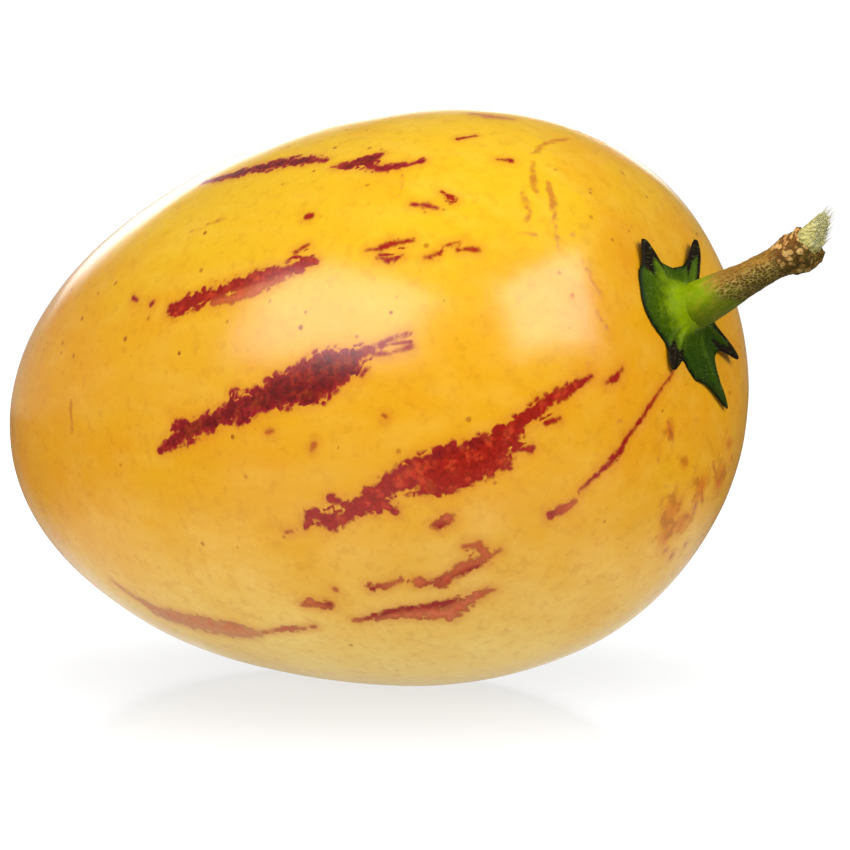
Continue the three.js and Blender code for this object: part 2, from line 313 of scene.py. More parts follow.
class PepinoCalyxSettings(bpy.types.PropertyGroup):
    cup_radius: length("Cup radius", "Where the sepals part", 6.2)
    collar_height: length("Collar height", "How far the cup climbs the stalk", 1.7)
    collar_reach: length("Collar reach", "Where the rise to the stalk begins", 5.6)
    rim: length("Rim", "Thickness at the edge", 0.4)
    lime: colour("Lime", "Beside the stalk", "#6C8000")
    leaf: colour("Leaf", "Upper side of the sepals", "#2C4002")
    shade: colour("Shade", "Edges of the sepals", "#0E1804")
    dry: colour("Dry", "Withered tips", "#120D07")
    hair_length: length("Hair length", "Longest hairs", 0.55)
    hair_count: bpy.props.IntProperty(
        name="Hairs", description="To a square centimetre", default=330, min=0, subtype="UNSIGNED"
    )


class PepinoStalkSettings(bpy.types.PropertyGroup):
    rise: angle("Rise", "Above the horizontal", 26)
    radius: length("Radius", "Of the thinnest part", 1.95)
    root_radius: length("Root radius", "Where it leaves the calyx", 2.95)
    knuckle_at: length("Knuckle", "Swollen joint, from the skin along the stalk", 18.6)
    knuckle_radius: length("Knuckle radius", "Of the swollen joint", 2.5)
    wood_radius: length("Wood radius", "Of the torn wood", 1.8)
    wood_end: length("Wood end", "End of the torn wood, from the skin", 22.5)
    bend: angle("Bend", "Upward turn of the torn end", 14)
    green: colour("Green", "Young bark", "#687E02")
    tan: colour("Tan", "Smooth cork on the upper side", "#926C28")
    brown: colour("Brown", "Cork between the net's threads", "#553D12")
    net: colour("Net", "Raised threads of cork", "#9A8448")
    wood: colour("Wood", "Torn fibres", "#B2AA66")


class PepinoStageSettings(bpy.types.PropertyGroup):
    camera_place: spot("Camera", "Where the camera stands", (0.2642, -0.3631, 0.0686))
    camera_aim: spot("Aim", "What the camera looks at", (0.0057, 0.0036, 0.0343))
    focal_length: bpy.props.FloatProperty(
        name="Focal length", description="In millimetres", default=141.6, unit="CAMERA"
    )
    sky: share("Surround", "Strength of the white surround", 1.02, 2)
    ceiling: share("Ceiling", "Strength of the light from above", 0.20, 2)
    horizon: share("Horizon", "Strength of the light from low on the left", 0.4, 2)


# ---- Shape of the fruit ----


def directions(colatitude, longitude):
    """Unit vectors, x towards the stalk, from degrees."""
    a, b = np.radians(colatitude), np.radians(longitude)
    return np.stack([np.cos(a) + 0 * b, -np.sin(a) * np.sin(b), np.sin(a) * np.cos(b)], -1)


def unit(v):
    return v / np.linalg.norm(v, axis=-1, keepdims=True)


def tipped(v, up):
    """Points or directions turned about the Y axis, with their +X end going up."""
    x, y, z = np.moveaxis(v, -1, 0)
    c, s = math.cos(up), math.sin(up)
    return np.stack([x * c - z * s, y, x * s + z * c], -1)


class Skin:
    """The fruit's surface as a formula, the same as its solid's, from a direction to a point."""

    def __init__(self, settings):
        self.form = settings
        crown = tipped(TO_STALK, settings.crown_offset)
        self.crown, self.crown_normal = self.body(crown), self.outward(self.body, crown)
        self.blossom, self.blossom_normal = self.body(-crown), self.outward(self.body, -crown)

    def body(self, d):
        """Points of the plain egg, about its own middle."""
        f, (x, y, z) = self.form, np.moveaxis(d, -1, 0)
        width = f.half_width / MM * (1 + f.taper * x + f.fullness * x * x)
        rise = f.arch / MM * x * x + f.hook / MM * x**3
        return np.stack([f.half_length / MM * x, width * y, width * z + rise], -1)

    @staticmethod
    def outward(surface, d):
        """Outward normals of a surface at some directions."""
        tangent = unit(np.cross(d, [0.0, 1.0, 0.0]))
        step = 1e-3

        def slope(way):
            return surface(unit(d + step * way)) - surface(unit(d - step * way))

        return unit(np.cross(slope(tangent), slope(np.cross(d, tangent))))

    def points(self, d):
        """Points of the whole surface, with its dimple and its small point, as it lies."""
        f = self.form
        body = p = self.body(tipped(d, f.crown_offset))
        for end, normal, height, radius in (
            (self.crown, self.crown_normal, -f.dimple_depth, f.dimple_radius),
            (self.blossom, self.blossom_normal, f.nipple_height, f.nipple_radius),
        ):
            away = np.linalg.norm(body - end, axis=-1, keepdims=True)
            p = p + height / MM * bell(away / (radius / MM)) * normal
        return tipped(p, f.lean) + np.array([-f.rest_x, 0, f.rest_height]) / MM

    def normals(self, d):
        return self.outward(self.points, d)


def stalk_axes(settings):
    """The stalk's direction, and the direction square to it that points up."""
    c, s = math.cos(settings.rise), math.sin(settings.rise)
    return np.array([c, 0, s]), np.array([-s, 0, c])


# ---- Meshes ----


def put(name, data):
    """A new object in the scene."""
    thing = bpy.data.objects.new(name, data)
    bpy.context.scene.collection.objects.link(thing)
    return thing


def make_piece(name, points, faces, material, node=None, attributes=None):
    """A smooth mesh object from points in millimetres, riding on the fruit's body."""
    mesh = bpy.data.meshes.new(name)
    mesh.from_pydata((np.asarray(points) * MM).tolist(), [], faces)
    mesh.materials.append(material)
    mesh.shade_smooth()
    for key, values in (attributes or {}).items():
        values = np.asarray(values, np.float32)
        kind, field = ("FLOAT_VECTOR", "vector") if values.ndim == 2 else ("FLOAT", "value")
        mesh.attributes.new(key, kind, "POINT").data.foreach_set(field, values.ravel())
    return settle(put(name, mesh), node)


def settle(piece, node=None):
    """Hangs a finished piece on the root body, and hides the solid it stands in for."""
    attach(piece, "root")
    if node:
        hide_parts(node)
    return piece


def grid_faces(rows, columns):
    """Faces of a tube of rows, each a closed ring, with one point beyond each end."""
    ring = np.arange(columns)
    following = (ring + 1) % columns
    faces = []
    for row in range(rows - 1):
        a, b = row * columns, (row + 1) * columns
        faces += np.stack([a + ring, b + ring, b + following, a + following], 1).tolist()
    first, last, end = rows * columns, rows * columns + 1, (rows - 1) * columns
    faces += [(first, int(i), int(j)) for i, j in zip(ring, following)]
    faces += [(last, int(end + j), int(end + i)) for i, j in zip(ring, following)]
    return faces


def fit_box(points, node):
    """Scales points to the box of a solid, so that the piece is exactly its size."""
    low, high = (np.array(corner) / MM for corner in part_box(node))
    own_low, own_high = points.min(0), points.max(0)
    return low + (points - own_low) * (high - low) / (own_high - own_low)


# ---- Materials ----

MATH, VECTOR, RANGE = "ShaderNodeMath", "ShaderNodeVectorMath", "ShaderNodeMapRange"
MAPPING, BUMP, NOISE = "ShaderNodeMapping", "ShaderNodeBump", "ShaderNodeTexNoise"
CELLS, AXES, HUES = "ShaderNodeTexVoronoi", "ShaderNodeSeparateXYZ", "ShaderNodeSeparateColor"
SURFACE, SHADER = "ShaderNodeOutputMaterial", "ShaderNodeBsdfPrincipled"
# kinds that come with settings, and with the output that is used
TIMES, PLUS, MINUS, TIMES_PLUS, LARGER, SMALLER, BELOW = (
    (MATH, {"operation": name})
    for name in ("MULTIPLY", "ADD", "SUBTRACT", "MULTIPLY_ADD", "MAXIMUM", "MINIMUM", "LESS_THAN")
)
LENGTH = VECTOR, {"operation": "LENGTH", "out": "Value"}
SMOOTH = RANGE, {"interpolation_type": "SMOOTHSTEP"}  # value, from and to, as RANGE
MIX = "ShaderNodeMix", {"data_type": "RGBA", "out": 2}  # its colours are inputs 6 and 7
STORED, PLACE = ("ShaderNodeAttribute", {"out": "Fac"}), ("ShaderNodeTexCoord", {"out": "Object"})


def add(tree, kind, *inputs, **settings):
    """Adds a node with its settings and links, and returns one of its outputs.

    Its kind may carry usual settings. Inputs come in the order of the sockets, or keyed by a
    socket's name or number. Each is a value, a colour, an sRGB hex colour or another output.
    """
    kind, usual = kind if isinstance(kind, tuple) else (kind, {})
    settings = {"out": 0, **usual, **settings}
    out = settings.pop("out")
    node = tree.nodes.new(kind)
    for key, value in settings.items():
        setattr(node, key, value)
    keyed = inputs[0] if inputs and isinstance(inputs[0], dict) else dict(enumerate(inputs))
    for key, value in keyed.items():
        socket = node.inputs[key]
        if isinstance(value, bpy.types.NodeSocket):
            tree.links.new(value, socket)
        elif socket.type == "RGBA":
            socket.default_value = (*(linear(value) if isinstance(value, str) else value)[:3], 1)
        else:
            socket.default_value = value
    return node.outputs[out] if len(node.outputs) else node


def per_mm(size):
    """The scale of a pattern whose features are a size in millimetres."""
    return 1 / (size * MM)


def start_material(name):
    """An empty material, and the function that adds a node to it."""
    material = bpy.data.materials.new(name)
    material.use_nodes = True
    material.node_tree.nodes.clear()
    return material, partial(add, material.node_tree)


def paint(node, ground, *coats):
    """Lays coats over a ground. Each is where it covers, from 0 to 1, and its colour."""
    for cover, coat in coats:
        ground = node(MIX, {0: cover, 6: ground, 7: coat})
    return ground


def skin_material(s):
    """Waxed skin of a ripe fruit: a thin clear cuticle over coloured, slightly see-through flesh.

    It gives broad soft highlights, a warm glow from the flesh, and streaks that are made of
    many single coloured cells, so that their edges are scalloped and dotted.
    """
    material, node = start_material("Waxy pepino skin")
    place = node(PLACE)
    height = node(AXES, place, out="Z")
    streak, half, tone, scratch, blotch, cork, warmth = (
        node(STORED, attribute_name=key)
        for key in ("streak", "half", "tone", "scratch", "blotch", "cork", "warmth")
    )
    broad, crowds, clouds, middle = (
        node(NOISE, {"Vector": place, "Scale": per_mm(size), "Detail": detail})
        for size, detail in ((26, 2), (13, 1), (10, 3), (7, 3))
    )
    lobes, patchy, fine, dashes, granules, pores = (
        node(NOISE, {"Vector": place, "Scale": per_mm(size), "Detail": detail})
        for size, detail in ((1.9, 2), (1.7, 3), (1.1, 2), (0.8, 2), (0.6, 1), (0.45, 2))
    )
    drawn = node(MAPPING, {"Vector": place, "Scale": (0.3, 1, 1)})
    drawn = node(NOISE, {"Vector": drawn, "Scale": per_mm(3), "Detail": 3})

    # ground: lemon gold on top, deeper at both ends, faint clouds, and straw as painted bounce
    # light below
    cloudy = node(TIMES_PLUS, broad, 1.1, -0.55)
    sunny = node(SMOOTH, node(TIMES_PLUS, cloudy, 0.02, height), 0.040, 0.068)
    deep = node(PLUS, node(RANGE, clouds, 0.35, 0.75, -0.25, 0.34), cloudy)
    deep = node(PLUS, warmth, deep, use_clamp=True)
    # painted bounce light: low on the fruit, where the floor lights it, the skin turns paler straw
    low = node(TIMES_PLUS, clouds, -0.028, node(PLUS, height, 0.014))
    low = node(TIMES, node(SMOOTH, low, 0.030, 0.0), node(TIMES_PLUS, middle, 0.6, 0.6))
    pale = node(SMOOTH, drawn, 0.4, 0.75, 0, 0.10)
    pitted = node(SMOOTH, fine, 0.45, 0.8, 0, 0.16)

    # specks: round red-brown dots 0.4 to 0.8 mm across, in loose clusters
    dots = node(CELLS, {"Vector": place, "Scale": per_mm(1.9)}).node.outputs
    pick = node(HUES, dots["Color"]).node.outputs
    radius = node(TIMES_PLUS, pick["Green"], 0.09, 0.10)
    speck = node(SMOOTH, node(MINUS, radius, dots["Distance"]), -0.07, 0.06)
    crowd = node(TIMES_PLUS, crowds, 0.85, node(RANGE, height, 0.015, 0.045, -0.46, -0.28))
    speck = node(TIMES, speck, node(BELOW, pick["Red"], crowd))
    speck = node(TIMES, speck, node(TIMES_PLUS, pick["Blue"], 0.5, 0.5))

    # a mark's depth in millimetres: the way to its line is exact where it is close
    away = node(STORED, out="Vector", attribute_name="to_mark")
    away = node(LENGTH, away)
    exact = node(LARGER, node(MINUS, half, away), streak)
    gain = node(MINUS, exact, streak)
    depth = node(TIMES_PLUS, gain, node(RANGE, streak, -0.45, -0.30), streak)
    # its edge follows single cells of the skin and softer lobes 2 mm across
    cells = node(CELLS, {"Vector": place, "Scale": per_mm(0.85)}).node.outputs
    uneven = node(TIMES_PLUS, node(HUES, cells["Color"]), 0.8, -1.0)
    uneven = node(TIMES_PLUS, cells["Distance"], -0.55, uneven)
    uneven = node(TIMES_PLUS, lobes, 1.6, uneven)
    ragged = node(RANGE, half, 0.1, 1.2, 0.15, 1.0)
    edge = node(TIMES_PLUS, uneven, ragged, depth)
    fading = node(RANGE, tone, CRIMSON, ROSE, 0.98, 0.72)
    stained = node(TIMES, node(SMOOTH, edge, -0.30, 0.24), fading)
    heart = node(SMOOTH, edge, 0.0, 1.0)
    halo = node(SMOOTH, depth, -1.5, 0.2, 0, 0.38)

    # colour of the marks: maroon, crimson, brick or faded, with granules half a
    # millimetre across and thin places where the gold shines through
    to_crimson, to_brick, to_rose = (
        node(RANGE, tone, *ends) for ends in ((MAROON, CRIMSON), (CRIMSON, BRICK), (BRICK, ROSE))
    )
    patchy = node(SMOOTH, patchy, 0.44, 0.66)
    thin = node(TIMES, patchy, node(RANGE, tone, MAROON, CRIMSON, 0.22, 0.7))
    granules = node(SMOOTH, granules, 0.42, 0.64)
    granules = node(TIMES, granules, node(RANGE, tone, 0.5, 0.8, 0.6, 0.25))
    night = node(MIX, {0: to_crimson, 6: "#36030A", 7: "#5E0504"})
    tones = (to_crimson, s.crimson), (to_brick, s.brick), (to_rose, s.rose)
    core = paint(node, s.maroon, *tones, (thin, "#B0321C"), (granules, night))
    rims = (to_crimson, "#7A0E0A"), (to_brick, "#8A3418"), (to_rose, "#94603A")
    stain = paint(node, "#7C101A", *rims, (heart, core))

    # healed scratches and the corky scar at the blossom end
    dashes = node(TIMES_PLUS, dashes, 1.1, -0.60)
    scarred = node(SMOOTH, node(PLUS, scratch, dashes), -0.30, 0.25, 0, 0.75)
    worn = node(TIMES_PLUS, node(PLUS, patchy, dashes), 0.35, blotch)
    worn = node(SMOOTH, worn, 0.1, 1.0, 0, 0.75)
    rust = node(MIX, {0: patchy, 6: "#A8580E", 7: "#8A460A"})
    corky = node(MIX, {0: fine, 6: "#3E280E", 7: "#8A6838"})
    ground = paint(
        node, s.gold, (sunny, s.lemon), (deep, s.amber), (low, s.bounce_lit_straw), (pale, "#D2B45C"),
        (pitted, "#A06A10"), (speck, "#7E3E08"), (halo, "#A65A1C"), (stained, stain),
        (scarred, s.russet), (worn, rust), (cork, corky),
    )

    dull = node(LARGER, scarred, cork)
    rough = node(TIMES_PLUS, dull, 0.3, node(TIMES_PLUS, middle, 0.08, 0.16))
    relief = node(TIMES_PLUS, dull, 0.4, node(TIMES_PLUS, pores, 0.22, middle))
    bump = node(BUMP, {"Height": relief, "Strength": 0.35, "Distance": 0.12 * MM})
    look = {
        "Base Color": ground, "Roughness": rough, "Normal": bump, "IOR": 1.33,
        "Subsurface Weight": 0.14, "Subsurface Radius": (1.0, 0.45, 0.12),
        "Subsurface Scale": 1.5 * MM,
    }
    node(SURFACE, {"Surface": node(SHADER, look)})
    return material


def sepal_material(s):
    """Living leaf tissue with a thin matt cuticle: dark green, lighter ribs, tips dried black."""
    material, node = start_material("Living sepal tissue")
    place = node(PLACE)
    out, inward, rib, dry = (
        node(STORED, attribute_name=key) for key in ("out", "inward", "rib", "dry")
    )
    mottled, fine = (
        node(NOISE, {"Vector": place, "Scale": per_mm(size), "Detail": detail})
        for size, detail in ((0.9, 3), (0.3, 2))
    )
    uneven = node(TIMES_PLUS, mottled, 0.6, -0.3)
    # out is raised on the side below the stalk as painted shade, so there the lime gives way sooner
    # to leaf and deep green
    reach = node(PLUS, out, uneven)
    leafy = node(SMOOTH, reach, 0.2, 0.8)
    veined = node(TIMES, rib, 0.3)
    flecked = node(SMOOTH, fine, 0.5, 0.8, 0, 0.35)
    deep = node(SMOOTH, reach, 0.75, 1.25, 0, 0.75)
    edge = node(SMOOTH, node(TIMES_PLUS, uneven, 0.8, inward), 0.75, 0.05)
    withered = node(SMOOTH, node(PLUS, dry, uneven), 0.30, 0.70)
    husk = node(SMOOTH, fine, 0.5, 0.75, 0, 0.6)
    husk = node(MIX, {0: husk, 6: s.dry, 7: "#3A2A10"})
    green = paint(
        node, s.lime, (leafy, s.leaf), (veined, "#566C12"), (flecked, "#50680C"),
        (deep, "#182C04"), (edge, s.shade), (withered, husk),
    )
    relief = node(TIMES_PLUS, fine, 0.5, mottled)
    bump = node(BUMP, {"Height": relief, "Strength": 0.7, "Distance": 0.14 * MM})
    look = {
        "Base Color": green, "Roughness": node(TIMES_PLUS, withered, 0.1, 0.46),
        "Normal": bump, "IOR": 1.4, "Specular IOR Level": 0.06, "Subsurface Weight": 0.1,
        "Subsurface Radius": (0.5, 0.8, 0.15), "Subsurface Scale": 0.5 * MM,
    }
    node(SURFACE, {"Surface": node(SHADER, look)})
    return material


def bark_material(s):
    """Young corky bark: green at the root, then tan cork with a net of pale raised threads."""
    material, node = start_material("Corky stalk bark")
    along = node(STORED, out="Vector", attribute_name="grain")
    side, _, reach = node(AXES, along).node.outputs
    # threads stand 0.3 mm apart round the stalk and run on for about 0.6 mm
    drawn, streaky = (
        node(MAPPING, {"Vector": along, "Scale": (1, 1, squeeze)}) for squeeze in (0.5, 0.12)
    )
    ragged, broad, sap, streaky = (
        node(NOISE, {"Vector": way, "Scale": per_mm(size), "Detail": detail})
        for way, size, detail in (
            (along, 0.45, 3), (along, 1.5, 3), (drawn, 0.8, 2), (streaky, 0.35, 3),
        )
    )
    net = node(CELLS, {"Vector": drawn, "Scale": per_mm(0.34)}, feature="DISTANCE_TO_EDGE")
    net = node(SMOOTH, node(TIMES_PLUS, ragged, 0.3, net), 0.36, 0.16)
    # the upper side is smooth and tan, the lower side netted
    under = node(PLUS, node(TIMES_PLUS, broad, 1.6 * MM, -0.8 * MM), side)
    under = node(SMOOTH, under, 1.0 * MM, -0.6 * MM)
    netted = node(MIX, {0: net, 6: s.brown, 7: s.net})
    tanned = node(SMOOTH, broad, 0.35, 0.7)
    tanned = node(SMALLER, node(SMOOTH, streaky, 0.4, 0.6), tanned)
    veil = node(TIMES, net, 0.22)
    # the knuckle is redder, in flakes with dark gaps
    flakes = node(CELLS, {"Vector": along, "Scale": per_mm(0.8)}).node.outputs
    gap = node(SMOOTH, node(TIMES_PLUS, ragged, 0.5, flakes["Distance"]), 0.62, 0.85)
    ruddy = paint(node, "#94602E", (node(HUES, flakes["Color"]), "#D0A866"), (gap, "#5C3A1A"))
    knuckle = node(SMOOTH, node(TIMES_PLUS, broad, 3 * MM, reach), 16.2 * MM, 18.4 * MM)
    swollen = node(TIMES, knuckle, 0.85)
    cork = paint(node, "#6A4818", (tanned, s.tan), (veil, s.net), (under, netted), (swollen, ruddy))
    # the root is green, and its green runs further out underneath
    edge = node(TIMES_PLUS, broad, 4.5 * MM, node(TIMES_PLUS, side, 0.55, reach))
    corky = node(SMOOTH, edge, 7.6 * MM, 11.4 * MM)
    root = node(SMOOTH, node(TIMES_PLUS, sap, 1.5 * MM, reach), 5.6 * MM, 2.6 * MM)
    sappy = node(SMOOTH, sap, 0.4, 0.75)
    # painted shade: the stalk's underside is darkened towards dark olive
    dark = node(SMOOTH, side, 0.6 * MM, -1.8 * MM, 0, 0.5)
    bark = paint(
        node, s.green, (sappy, "#88881A"), (root, "#687C02"), (corky, cork), (dark, "#2E3206")
    )
    relief = node(TIMES, net, node(TIMES, corky, under))
    relief = node(TIMES_PLUS, ragged, 0.6, relief)
    relief = node(TIMES_PLUS, node(TIMES, gap, knuckle), -0.8, relief)
    bump = node(BUMP, {"Height": relief, "Strength": 0.9, "Distance": 0.15 * MM})
    look = {
        "Base Color": bark, "Roughness": node(TIMES_PLUS, corky, 0.3, 0.45),
        "Normal": bump, "IOR": 1.4, "Specular IOR Level": 0.05, "Subsurface Weight": 0.08,
        "Subsurface Radius": (0.6, 0.8, 0.2), "Subsurface Scale": 0.5 * MM,
    }
    node(SURFACE, {"Surface": node(SHADER, look)})
    return material


def wood_material(name, pale, dark):
    """Torn wet wood: dull pale fibres with darker gaps along the grain."""
    material, node = start_material(name)
    place = node(PLACE)
    drawn = node(MAPPING, {"Vector": place, "Rotation": (0, 0.7, 0), "Scale": (0.25, 1, 1)})
    fibre = node(NOISE, {"Vector": drawn, "Scale": per_mm(0.3), "Detail": 3})
    damp = node(NOISE, {"Vector": place, "Scale": per_mm(1.4), "Detail": 2})
    damp = node(SMOOTH, damp, 0.5, 0.75, 0, 0.5)
    raised = node(SMOOTH, fibre, 0.36, 0.6)
    look = {
        "Base Color": paint(node, dark, (raised, pale), (damp, "#7C8034")),
        "Normal": node(BUMP, {"Height": fibre, "Strength": 0.8, "Distance": 0.12 * MM}),
        "Roughness": 0.65, "Specular IOR Level": 0.35, "Subsurface Weight": 0.2,
        "Subsurface Radius": (1.0, 0.9, 0.5), "Subsurface Scale": 0.6 * MM,
    }
    node(SURFACE, {"Surface": node(SHADER, look)})
    return material


def hair_material():
    """Fine plant hairs: colourless, so they catch the light as pale threads."""
    material, node = start_material("Sepal hairs")
    tufts = node(NOISE, {"Vector": node(PLACE), "Scale": per_mm(0.8)})
    tint = node(MIX, {0: tufts, 6: "#3E5A14", 7: "#8C9858"})
    look = {"Base Color": tint, "Roughness": 0.5, "Specular IOR Level": 0.4}
    node(SURFACE, {"Surface": node(SHADER, look)})
    return material


def floor_material():
    """Opal acrylic lit from below: white, with a painted soft pale shadow and a faint mirror image.

    It lights the fruit from near by and much less from far off, which keeps the skin's edges
    deep in colour.
    """
    material, node = start_material("Backlit opal acrylic")
    away = node(LENGTH, node(PLACE))
    # painted shadow: the glow the camera sees is dimmer within 9 cm of the middle
    seen_glow_painted_shadow = node(SMOOTH, away, 0.02, 0.09, 0.80, 1.20)
    given = node(TIMES, node(SMOOTH, away, 0.045, 0.13, 1.52, 0.08), seen_glow_painted_shadow)
    # its light leaves it steeply, so the skin, which mirrors it at a slant, shows little of it
    path = node("ShaderNodeLightPath").node.outputs
    given = node(RANGE, path["Is Glossy Ray"], 0, 1, given, node(TIMES, given, 0.4))
    look = {
        "Base Color": "#3C3C3A", "Roughness": 0.8, "Specular IOR Level": 0.0,
        "Emission Color": (1, 1, 1, 1),
        "Emission Strength": node(RANGE, path["Is Camera Ray"], 0, 1, given, seen_glow_painted_shadow),
    }
    polish = node("ShaderNodeBsdfAnisotropic", {"Color": (1, 1, 1), "Roughness": 0.16})
    both = node("ShaderNodeMixShader", 0.10, node(SHADER, look), polish)
    node(SURFACE, {"Surface": both})
    return material


# ---- Growing what repeats ----

SCATTER, PLANT = "GeometryNodeDistributePointsOnFaces", "GeometryNodeInstanceOnPoints"
REAL = "GeometryNodeRealizeInstances"
RANDOM_VECTOR = "FunctionNodeRandomValue", {"data_type": "FLOAT_VECTOR"}
RANDOM_NUMBER = "FunctionNodeRandomValue", {"out": 1}  # its least and most are inputs 2 and 3


def start_growth(name, wanted):
    """A node tree with named inputs, its adding function, and its input node's outputs."""
    tree = bpy.data.node_groups.new(name, "GeometryNodeTree")
    for way in ("INPUT", "OUTPUT"):
        tree.interface.new_socket("Geometry", in_out=way, socket_type="NodeSocketGeometry")
    for key in wanted:
        tree.interface.new_socket(key, in_out="INPUT", socket_type="NodeSocketFloat")
    node = partial(add, tree)
    return tree, node, node("NodeGroupInput").node.outputs


def end_growth(node, grown, material):
    """Ends a tree: instances become real, and get their material."""
    real = node(REAL, grown)
    painted = node("GeometryNodeSetMaterial", {"Geometry": real, "Material": material})
    node("NodeGroupOutput", {"Geometry": painted})


def grow(name, ground, tree, values):
    """Runs a node tree on a copy of a piece and keeps the result as a plain mesh."""
    carrier = put(name, ground.data.copy())
    modifier = carrier.modifiers.new("Grow", "NODES")
    modifier.node_group = tree
    for item in tree.interface.items_tree:
        if item.in_out == "INPUT" and item.name in values:
            modifier[item.identifier] = float(values[item.name])
    evaluated = carrier.evaluated_get(bpy.context.evaluated_depsgraph_get())
    mesh = bpy.data.meshes.new_from_object(evaluated)
    mesh.name = name
    carrier.modifiers.clear()
    carrier.data = mesh
    return settle(carrier)


# ---- Pieces ----

STEPS, AT_ONCE = 14, 4000  # steps between two stops of a mark, and points measured at once


def line_depth(skin, points, line):
    """How deep each point is inside a mark, the way to the mark's line and its half width there."""
    stops = np.array(line, float)
    last = len(stops) - 1
    steps = np.linspace(0, last, STEPS * last + 1)
    colatitude, longitude, half = (np.interp(steps, range(last + 1), part) for part in stops.T)
    path = skin.points(directions(colatitude, longitude))
    depth, width = np.full(len(points), -FAR), np.zeros(len(points))
    way = np.full((len(points), 3), FAR)
    middle = path.mean(0)
    reach = np.linalg.norm(path - middle, axis=1).max() + FAR
    near = np.flatnonzero(np.linalg.norm(points - middle, axis=1) < reach)
    for part in np.array_split(near, max(1, len(near) // AT_ONCE)):
        ways = path[None] - points[part, None]
        inside = half - np.linalg.norm(ways, axis=2)
        best = inside.argmax(1)
        depth[part] = inside.max(1)
        way[part], width[part] = ways[np.arange(len(part)), best], half[best]
    return depth, way, width


class PEPINO_OT_fruit(bpy.types.Operator):
    """Make the fruit with its streaks, specks and scars"""

    bl_idname = "pepino.fruit"
    bl_label = "Fruit"

    ROWS, COLUMNS = 264, 344

    def execute(self, context):
        s = context.scene.pepino_fruit
        skin = Skin(s)
        colatitude = np.linspace(0, 180, self.ROWS + 2)[1:-1]
        longitude = np.arange(self.COLUMNS) * 360 / self.COLUMNS
        polar, around = np.meshgrid(colatitude, longitude, indexing="ij")
        polar, around = np.append(polar.ravel(), [0, 180]), np.append(around.ravel(), [0, 0])
        way = directions(polar, around)
        points, normals = skin.points(way), skin.normals(way)
        # slow unevenness of a grown surface
        points += normals * (0.16 * lumps(points, 17.0) + 0.05 * lumps(points, 6.0, 3.0))[:, None]
        # the belly is a little flatter than the formula, and level where it touches the surface
        belly = bell(np.hypot(points[:, 0], points[:, 1]) / 22)
        points[:, 2] += 0.85 * belly * smooth(points[:, 2], 30, 8)
        points[:, 2] = np.maximum(points[:, 2], 0)
        points = fit_box(points, "fruit")

        depth, to_mark = np.full(len(points), -FAR), np.full((len(points), 3), FAR)
        half, tone, scratch, blotch = np.zeros((4, len(points)))
        weight = np.full(len(points), 1e-12)
        for mark_tone, *line in STREAKS:
            own, way_to, width = line_depth(skin, points, line)
            nearer = own > depth
            for kept, new in ((half, width), (to_mark, way_to), (depth, own)):
                kept[nearer] = new[nearer]
            pull = np.exp(np.clip(own, -6, 2) / 0.45)
            tone, weight = tone + mark_tone * pull, weight + pull
        scratch -= FAR
        for line in SCRATCHES:
            scratch = np.maximum(scratch, line_depth(skin, points, line)[0])
        for at, around_at, wide in BLOTCHES:
            to_patch = np.linalg.norm(points - skin.points(directions(at, around_at)), axis=1)
            blotch = np.maximum(blotch, bell(to_patch / wide))
        to_end = np.linalg.norm(points - points[-1], axis=1)
        cork = smooth(to_end + 0.7 * lumps(points, 1.2), 2.1, 1.2)
        warmth = 0.42 * smooth(polar, 44, 12) + 0.6 * smooth(polar, 92, 130)
        marks = {
            "streak": depth, "to_mark": to_mark, "half": half, "tone": tone / weight,
            "scratch": scratch, "blotch": blotch, "cork": cork, "warmth": warmth,
        }
        faces = grid_faces(self.ROWS, self.COLUMNS)
        make_piece("fruit", points, faces, skin_material(s), "fruit", marks)
        return {"FINISHED"}


